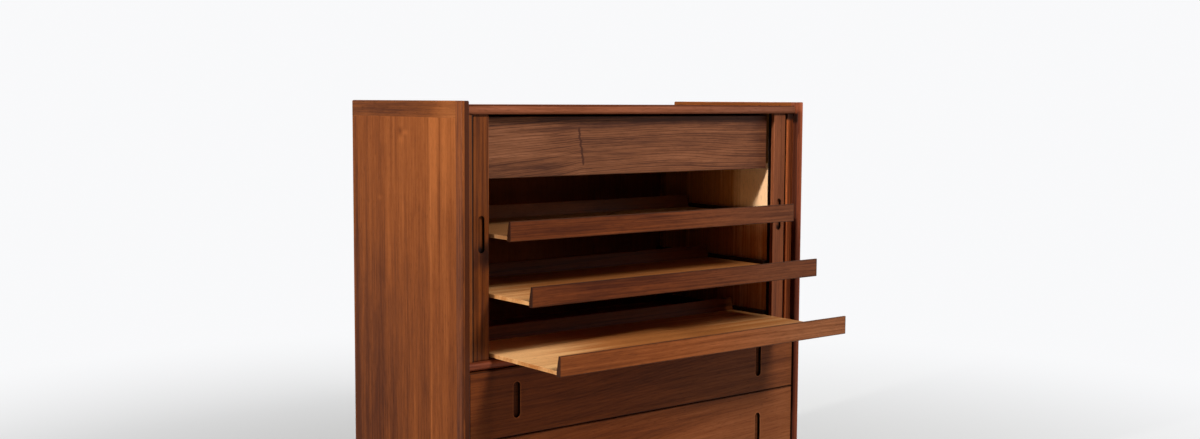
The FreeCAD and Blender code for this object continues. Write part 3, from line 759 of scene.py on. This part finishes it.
def curtain(side, sign):
    """The slats that a closing door draws out of its pocket. Open, they lie packed behind the fixed strip."""
    near = stile_edge(side)
    far = min(abs(corner.x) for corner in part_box(f"{side}_side_panel"))
    low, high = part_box(f"{side}_tambour_slats")
    front, back = low.y, low.y + SLAT_DEPTH

    def build(shape):
        uv = shape.loops.layers.uv.new("UVMap")
        tone = shape.verts.layers.float.new("slat_tone")
        roll = random.Random(TONE_SEED + sign)
        first = near - TRAVEL + STILE_GAP
        for index in range(int((far - CURTAIN_END - first) / PITCH)):
            start = first + index * PITCH
            stop = start + SLAT
            profile = [(start, back), (start, front + CHAMFER), (start + CHAMFER, front),
                       (stop - CHAMFER, front), (stop, front + CHAMFER), (stop, back)]
            shade = roll.random()
            rings = []
            for z in (low.z, high.z):
                ring = []
                for across, depth in profile:
                    vertex = shape.verts.new((sign * open_place(across, near, far), depth, z))
                    vertex[tone] = shade
                    ring.append((vertex, across + depth))
                rings.append(ring)
            foot, head = rings
            loops = list(zip(foot, foot[1:] + foot[:1], head[1:] + head[:1], head))
            loops += [foot[::-1], head]
            for loop in loops:
                face = shape.faces.new([vertex for vertex, _ in loop])
                for corner, (vertex, across) in zip(face.loops, loop):
                    corner[uv].uv = (across, vertex.co.z)
        bmesh.ops.recalc_face_normals(shape, faces=shape.faces)

    # Painted shade on the slats where they lie in the pocket beside the fixed strip
    pocket = fade("open_x", near - 0.0010, near + 0.0005, 0.0, 0.98)
    material = wood(f"{side}_curtain_wood", f"{side}_door_stile", "z", "x", WALNUT, CURTAIN_SEED + sign,
                    centre=(0.3, 0.1), wear_and_highlight=0.0, marks=slat_tone, coords=unrolled, painted_shade=pocket)
    piece = new_piece(f"{side}_tambour_curtain", build, material)
    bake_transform(piece)


def backing(side, sign, cloth):
    """The canvas glued to the slats' backs, round the turn and along the pocket."""
    low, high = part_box(f"{side}_tambour_slats")
    near = stile_edge(side)
    turn_y = low.y - CLEARANCE + TURN
    radius = TURN - CLEARANCE - SLAT_DEPTH
    bend = radius * math.pi / 2
    points = []
    for index in range(CANVAS_SLATS + 1):
        length = CANVAS_START + index * PITCH
        if length < bend:
            angle = length / radius
            points.append((near + radius * math.sin(angle), turn_y - radius * math.cos(angle)))
        else:
            points.append((near + radius, turn_y + length - bend))

    def build(shape):
        uv = shape.loops.layers.uv.new("UVMap")
        rows = []
        for index, (x, y) in enumerate(points):
            before, after = points[max(index - 1, 0)], points[min(index + 1, CANVAS_SLATS)]
            run = Vector((after[0] - before[0], after[1] - before[1])).normalized()
            inward = Vector((-run.y, run.x)) * CANVAS_DEPTH
            rows.append([shape.verts.new((sign * px, py, z)) for z in (low.z, high.z)
                         for px, py in ((x, y), (x + inward.x, y + inward.y))])
        for index, (a, b) in enumerate(zip(rows, rows[1:])):
            for i, j in ((0, 2), (2, 3), (3, 1), (1, 0)):
                face = shape.faces.new((a[i], b[i], b[j], a[j]))
                for corner, along in zip(face.loops, (index, index + 1, index + 1, index)):
                    corner[uv].uv = (along * PITCH, corner.vert.co.z)
        for row in (rows[0], rows[-1]):
            shape.faces.new((row[0], row[1], row[3], row[2]))
        bmesh.ops.recalc_face_normals(shape, faces=shape.faces)

    piece = new_piece(f"{side}_tambour_backing", build, cloth)
    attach(piece, "case")
    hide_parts(f"{side}_tambour_canvas")


cloth = canvas_cloth("tambour_canvas_cloth")
for side, sign in SIDES:
    curtain(side, sign)
    backing(side, sign, cloth)


# The back panel is screwed to the three boards that reach it.

SCREWS = 7                    # to each board
SCREW_INSET = 0.06            # from the panel's edge to the first screw
HEAD_CORNERS = 16
HEAD = ((0.0040, 0.0), (0.0040, 0.0003), (0.0034, 0.0009), (0.0016, 0.0013))    # radius and height
RECESS_RIM, RECESS_DEPTH = 0.0004, 0.0008


def screw(shape, x, y, z, turn):
    """A low domed head with a recess, turned about its axis."""
    angles = [turn + corner * 2 * math.pi / HEAD_CORNERS for corner in range(HEAD_CORNERS)]
    rings = [[shape.verts.new((x + radius * math.cos(angle), y + height, z + radius * math.sin(angle)))
              for angle in angles] for radius, height in HEAD]
    for a, b in zip(rings, rings[1:]):
        for corners in zip(a, a[1:] + a[:1], b[1:] + b[:1], b):
            shape.faces.new(corners)
    cap = shape.faces.new(rings[-1])
    bmesh.ops.inset_region(shape, faces=[cap], thickness=RECESS_RIM)
    bmesh.ops.translate(shape, verts=cap.verts, vec=(0, -RECESS_DEPTH, 0))
    shape.faces.new(rings[0][::-1])


def screws(shape):
    """A row of screws at each board, no two of them turned alike."""
    low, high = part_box("back_panel")
    step = (high.x - low.x - 2 * SCREW_INSET) / (SCREWS - 1)
    for board in ("top_board", "divider_shelf", "case_bottom"):
        below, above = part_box(board)
        z = (below.z + above.z) / 2
        for index in range(SCREWS):
            screw(shape, low.x + SCREW_INSET + index * step, high.y, z, turn=0.7 * index + 9 * z)
    bmesh.ops.recalc_face_normals(shape, faces=shape.faces)


heads = new_piece("back_panel_screws", screws, steel("screw_steel"))
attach(heads, "case")


# The camera, fitted to the photograph's edges

CAMERA_AT = Vector((-1.9873, -2.5348, 1.0360))
FOCAL_PX, WIDTH_PX, HEIGHT_PX, AXIS_Y_PX = 1352.56, 1200, 439, 216.69
YAW, PITCH_DOWN, ROLL = (math.radians(angle) for angle in (-38.6546, 4.9176, 0.2999))
SENSOR_MM = 36.0

ahead = Vector((-math.sin(YAW) * math.cos(PITCH_DOWN), math.cos(YAW) * math.cos(PITCH_DOWN),
                -math.sin(PITCH_DOWN)))
level = ahead.cross(Vector((0, 0, 1))).normalized()
upward = level.cross(ahead)
right = math.cos(ROLL) * level + math.sin(ROLL) * upward
top = math.cos(ROLL) * upward - math.sin(ROLL) * level
lens = bpy.data.cameras.new("camera")
lens.sensor_width = SENSOR_MM
lens.lens = SENSOR_MM * FOCAL_PX / WIDTH_PX
lens.shift_y = (AXIS_Y_PX - HEIGHT_PX / 2) / WIDTH_PX
camera = bpy.data.objects.new("camera", lens)
SCENE.collection.objects.link(camera)
pose = Matrix((right, top, -ahead)).transposed().to_4x4()
pose.translation = CAMERA_AT
camera.matrix_world = pose
SCENE.camera = camera


# Lamps, backdrop and floor

LAMPS = (
    # name, place, aim, width, watts, spread in degrees, colour
    ("side_key", (-8.0, -0.94, 2.46), (-0.45, -0.15, 1.00), 0.26, 98.0, 75, (1.0, 0.98, 0.95)),
    ("left_softbox", (-2.9, -0.55, 2.1), (-0.4, -0.1, 0.90), 1.0, 20.0, 180, (1.0, 0.98, 0.95)),
    ("front_softbox", (0.73, -3.68, 3.34), (0.0, -0.15, 0.65), 1.05, 175.0, 180, (1.0, 0.99, 0.97)),
    ("right_fill", (4.2, -1.4, 1.9), (0.0, -0.15, 0.70), 2.4, 14.0, 180, (0.95, 0.97, 1.0)),
    ("back_softbox", (2.5, 2.9, 3.2), (0.0, 0.1, 0.70), 2.0, 130.0, 180, (0.98, 0.99, 1.0)),
)
for name, place, aim, width, watts, spread, colour in LAMPS:
    data = bpy.data.lights.new(name, "AREA")
    data.shape = "DISK"
    data.size = width
    data.spread = math.radians(spread)
    data.energy = watts
    data.color = colour
    lamp = bpy.data.objects.new(name, data)
    lamp.location = place
    lamp.rotation_mode = "QUATERNION"
    lamp.rotation_quaternion = (Vector(aim) - Vector(place)).to_track_quat("-Z", "Y")
    SCENE.collection.objects.link(lamp)

BACKDROP = (0.945, 0.948, 0.960, 1)
AMBIENT, AMBIENT_COLOUR = 0.035, (0.97, 0.98, 1.0, 1)
FLOOR_COLOUR = (0.62, 0.62, 0.61, 1)
FLOOR_RADIUS, FLOOR_CORNERS = 40.0, 96
FLOOR_FADE = (0.7, 3.0, 0.20, 1.0)    # two distances, and the backdrop's share at each


def seen_rays(tree):
    """1 for the rays that show the backdrop: the camera's, reflected and refracted ones."""
    path = tree.nodes.new("ShaderNodeLightPath")
    seen = path.outputs["Is Camera Ray"]
    for ray in ("Is Glossy Ray", "Is Transmission Ray"):
        node = tree.nodes.new("ShaderNodeMath")
        node.operation = "MAXIMUM"
        tree.links.new(seen, node.inputs[0])
        tree.links.new(path.outputs[ray], node.inputs[1])
        seen = node.outputs[0]
    return seen


def show(tree, share, first, second, output):
    """Sends the first shader to the output where share is 0, and the second where it is 1."""
    pick = tree.nodes.new("ShaderNodeMixShader")
    for socket, source in zip(pick.inputs, (share, first.outputs[0], second.outputs[0])):
        tree.links.new(source, socket)
    tree.links.new(pick.outputs[0], output.inputs["Surface"])


def world():
    """Soft light from all round, and a pale backdrop."""
    room = bpy.data.worlds.new("room")
    SCENE.world = room
    room.use_nodes = True
    tree = room.node_tree
    tree.nodes.clear()
    soft, backdrop = (tree.nodes.new("ShaderNodeBackground") for _ in range(2))
    soft.inputs["Color"].default_value = AMBIENT_COLOUR
    soft.inputs["Strength"].default_value = AMBIENT
    backdrop.inputs["Color"].default_value = BACKDROP
    show(tree, seen_rays(tree), soft, backdrop, tree.nodes.new("ShaderNodeOutputWorld"))


def floor():
    """A pale floor that fades into the backdrop a few metres away."""
    graph = Graph("floor")
    where = graph.add("ShaderNodeNewGeometry")
    distance = graph.add("ShaderNodeVectorMath", operation="LENGTH")
    graph.feed(distance.inputs[0], where.outputs["Position"])
    share = graph.times(graph.rise(distance.outputs["Value"], *FLOOR_FADE), seen_rays(graph.tree))
    glow = graph.add("ShaderNodeEmission")
    glow.inputs["Color"].default_value = BACKDROP
    show(graph.tree, share, graph.shader, glow, graph.output)
    graph.finish(Base_Color=FLOOR_COLOUR, Roughness=0.85, Specular_IOR_Level=0.0)

    def build(shape):
        bmesh.ops.create_circle(shape, cap_ends=True, radius=FLOOR_RADIUS, segments=FLOOR_CORNERS)

    piece = new_piece("floor", build, graph.material)


world()
floor()
SCENE.view_settings.view_transform = "Standard"
